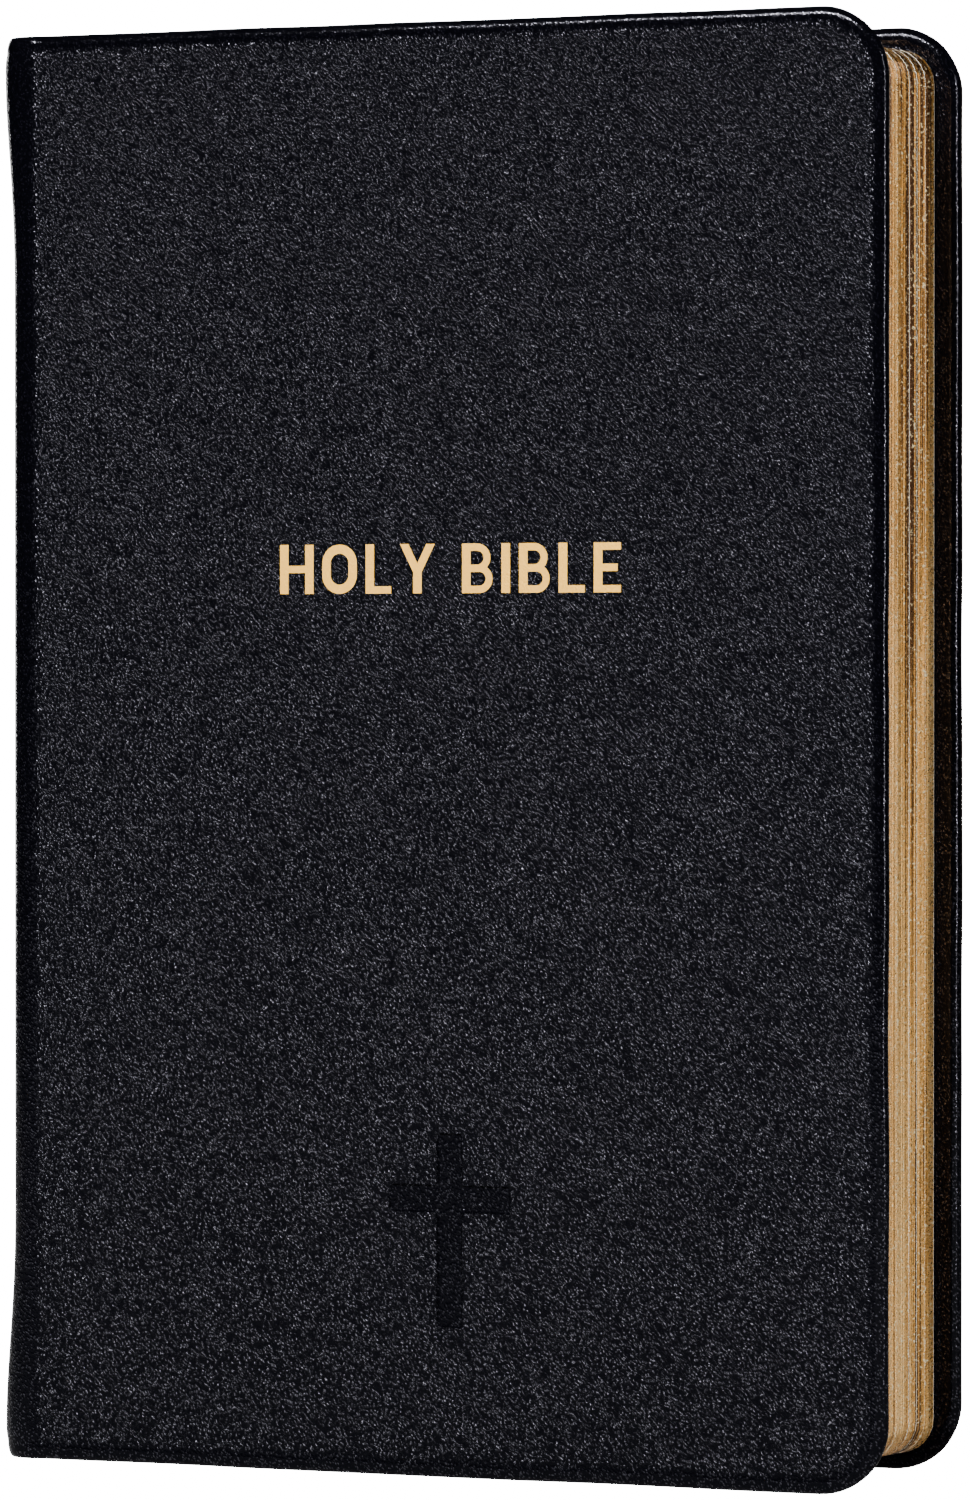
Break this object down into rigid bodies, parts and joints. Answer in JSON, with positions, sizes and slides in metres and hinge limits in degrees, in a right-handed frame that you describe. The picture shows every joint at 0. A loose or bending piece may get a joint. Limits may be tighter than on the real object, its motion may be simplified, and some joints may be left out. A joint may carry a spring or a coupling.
{
  "type": "bible",
  "caption": "Closed hand-size Bible in limp black leather with rounded corners, sewn thin-paper sections gilt on three edges, and covers and leaves that open from both sides.",
  "frame": {"origin": "middle of the bottom of the closed book's box, where it stands on its tail edge", "axes": "+X from the spine to the fore-edge, -Y out of the front cover, +Z from tail to head"},
  "size_m": [0.136, 0.0354, 0.206],
  "materials": {
    "black_leather": "fine grain calf, satin",
    "flexible_board": "grey flexible millboard",
    "black_endpaper": "black endpaper, matt",
    "ivory_flyleaf": "strong ivory flyleaf, gilt on three edges",
    "gold_foil": "hot-pressed gold foil",
    "kraft_paper": "brown kraft",
    "mull": "open cotton gauze, glued",
    "linen_thread": "sewing thread",
    "silk_band": "striped silk bead",
    "gilt_pages": "thin printing paper, gilt on three edges"
  },
  "bodies": {
    "spine_and_block": {"spine_leather": "black_leather", "spine_card": "flexible_board", "spine_paper": "kraft_paper", "mull_gauze": "mull", "sewing_thread": "linen_thread", "headband": "silk_band", "tailband": "silk_band", "section_04": "gilt_pages", "section_05": "gilt_pages", "section_06": "gilt_pages", "section_07": "gilt_pages", "section_08": "gilt_pages", "section_09": "gilt_pages", "section_10": "gilt_pages", "section_11": "gilt_pages", "section_01_fold": "gilt_pages", "section_02_fold": "gilt_pages", "section_03_fold": "gilt_pages", "section_12_fold": "gilt_pages", "section_13_fold": "gilt_pages", "section_14_fold": "gilt_pages"},
    "front_cover": {"front_leather": "black_leather", "front_board": "flexible_board", "front_lining": "black_endpaper", "title_foil": "gold_foil"},
    "front_endpaper": {"front_flyleaf": "ivory_flyleaf"},
    "leaves_01": {"section_01_leaves": "gilt_pages"},
    "leaves_02": {"section_02_leaves": "gilt_pages"},
    "leaves_03": {"section_03_leaves": "gilt_pages"},
    "leaves_12": {"section_12_leaves": "gilt_pages"},
    "leaves_13": {"section_13_leaves": "gilt_pages"},
    "leaves_14": {"section_14_leaves": "gilt_pages"},
    "back_endpaper": {"back_flyleaf": "ivory_flyleaf"},
    "back_cover": {"back_leather": "black_leather", "back_board": "flexible_board", "back_lining": "black_endpaper"}
  },
  "joints": [
    {"name": "front_cover_hinge", "type": "hinge", "parent": "spine_and_block", "child": "front_cover", "pos_m": [-0.06, -0.018, 0.103], "axis": [0, 0, -1], "range_deg": [0, 175]},
    {"name": "back_cover_hinge", "type": "hinge", "parent": "spine_and_block", "child": "back_cover", "pos_m": [-0.06, 0.018, 0.103], "axis": [0, 0, 1], "range_deg": [0, 175]},
    {"name": "front_endpaper_turn", "type": "hinge", "parent": "spine_and_block", "child": "front_endpaper", "pos_m": [-0.06, -0.018, 0.103], "axis": [0, 0, -1], "range_deg": [0, 165]},
    {"name": "leaves_01_turn", "type": "hinge", "parent": "spine_and_block", "child": "leaves_01", "pos_m": [-0.06, -0.018, 0.103], "axis": [0, 0, -1], "range_deg": [0, 151]},
    {"name": "leaves_02_turn", "type": "hinge", "parent": "spine_and_block", "child": "leaves_02", "pos_m": [-0.06, -0.018, 0.103], "axis": [0, 0, -1], "range_deg": [0, 130]},
    {"name": "leaves_03_turn", "type": "hinge", "parent": "spine_and_block", "child": "leaves_03", "pos_m": [-0.06, -0.018, 0.103], "axis": [0, 0, -1], "range_deg": [0, 105.5]},
    {"name": "leaves_12_turn", "type": "hinge", "parent": "spine_and_block", "child": "leaves_12", "pos_m": [-0.06, 0.018, 0.103], "axis": [0, 0, 1], "range_deg": [0, 105.5]},
    {"name": "leaves_13_turn", "type": "hinge", "parent": "spine_and_block", "child": "leaves_13", "pos_m": [-0.06, 0.018, 0.103], "axis": [0, 0, 1], "range_deg": [0, 130]},
    {"name": "leaves_14_turn", "type": "hinge", "parent": "spine_and_block", "child": "leaves_14", "pos_m": [-0.06, 0.018, 0.103], "axis": [0, 0, 1], "range_deg": [0, 151]},
    {"name": "back_endpaper_turn", "type": "hinge", "parent": "spine_and_block", "child": "back_endpaper", "pos_m": [-0.06, 0.018, 0.103], "axis": [0, 0, 1], "range_deg": [0, 165]}
  ],
  "couplings": [
    {"joint": "front_endpaper_turn", "follows": "front_cover_hinge", "ratio": 0.94},
    {"joint": "leaves_01_turn", "follows": "front_cover_hinge", "ratio": 0.86},
    {"joint": "leaves_02_turn", "follows": "front_cover_hinge", "ratio": 0.74},
    {"joint": "leaves_03_turn", "follows": "front_cover_hinge", "ratio": 0.6},
    {"joint": "leaves_12_turn", "follows": "back_cover_hinge", "ratio": 0.6},
    {"joint": "leaves_13_turn", "follows": "back_cover_hinge", "ratio": 0.74},
    {"joint": "leaves_14_turn", "follows": "back_cover_hinge", "ratio": 0.86},
    {"joint": "back_endpaper_turn", "follows": "back_cover_hinge", "ratio": 0.94}
  ]
}
